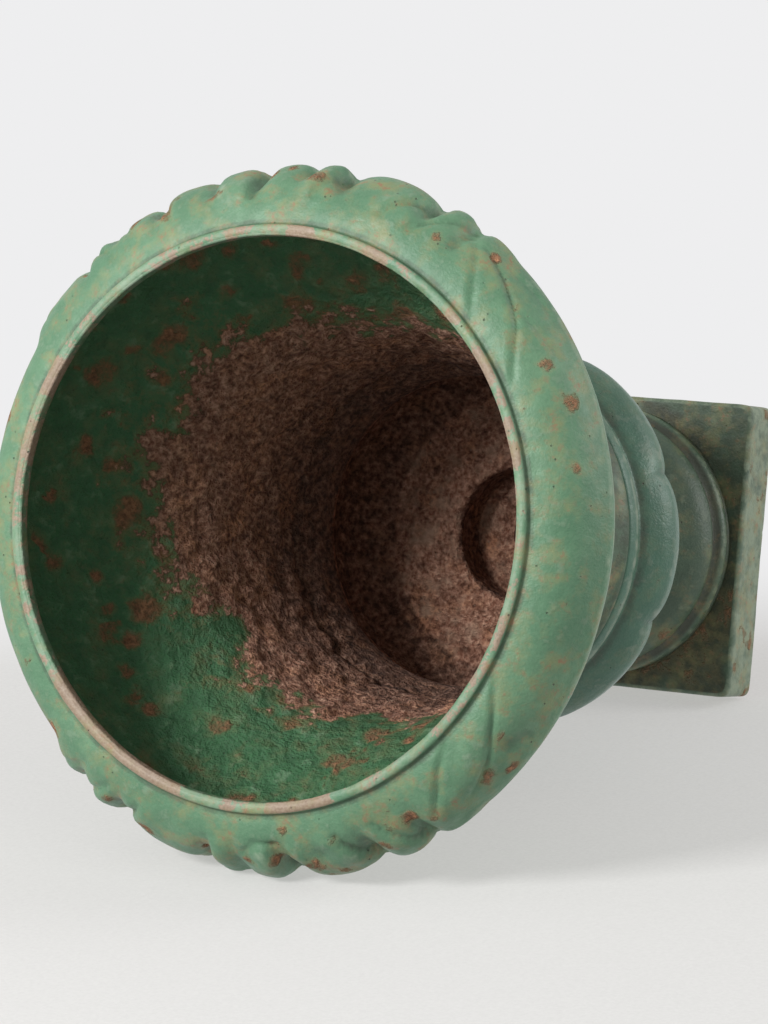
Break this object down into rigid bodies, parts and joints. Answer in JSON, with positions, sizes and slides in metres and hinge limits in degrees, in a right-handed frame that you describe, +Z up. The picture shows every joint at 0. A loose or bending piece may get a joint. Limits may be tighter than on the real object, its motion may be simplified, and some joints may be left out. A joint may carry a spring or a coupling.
{
  "type": "garden urn",
  "caption": "Cast-iron campana garden urn: rolled rim with leaf sprays, gadrooned lower bowl, waisted foot and square plinth clamped by a central rod; worn green paint over rust.",
  "frame": {"origin": "middle of the plinth's underside, on the urn's vertical axis", "axes": "+Z up through the mouth; X and Y square to the plinth's sides, with the rim's two leaf sprays at +Y and -Y"},
  "size_m": [0.4, 0.3998, 0.4916],
  "materials": {
    "collar_paint": "worn sage green paint over rusting cast iron, rough red-brown rust inside",
    "bowl_paint": "dusty dark green paint outside, brown rust inside",
    "foot_paint": "dark olive green paint with brown dirt",
    "plinth_paint": "olive green paint with rust stains",
    "rusted_steel": "brown rust"
  },
  "bodies": {
    "root": {"upper_bowl": "collar_paint", "lower_bowl": "bowl_paint", "foot": "foot_paint", "plinth": "plinth_paint", "tie_rod": "rusted_steel", "top_nut": "rusted_steel", "top_washer": "rusted_steel", "bottom_nut": "rusted_steel", "bottom_washer": "rusted_steel"}
  },
  "joints": []
}
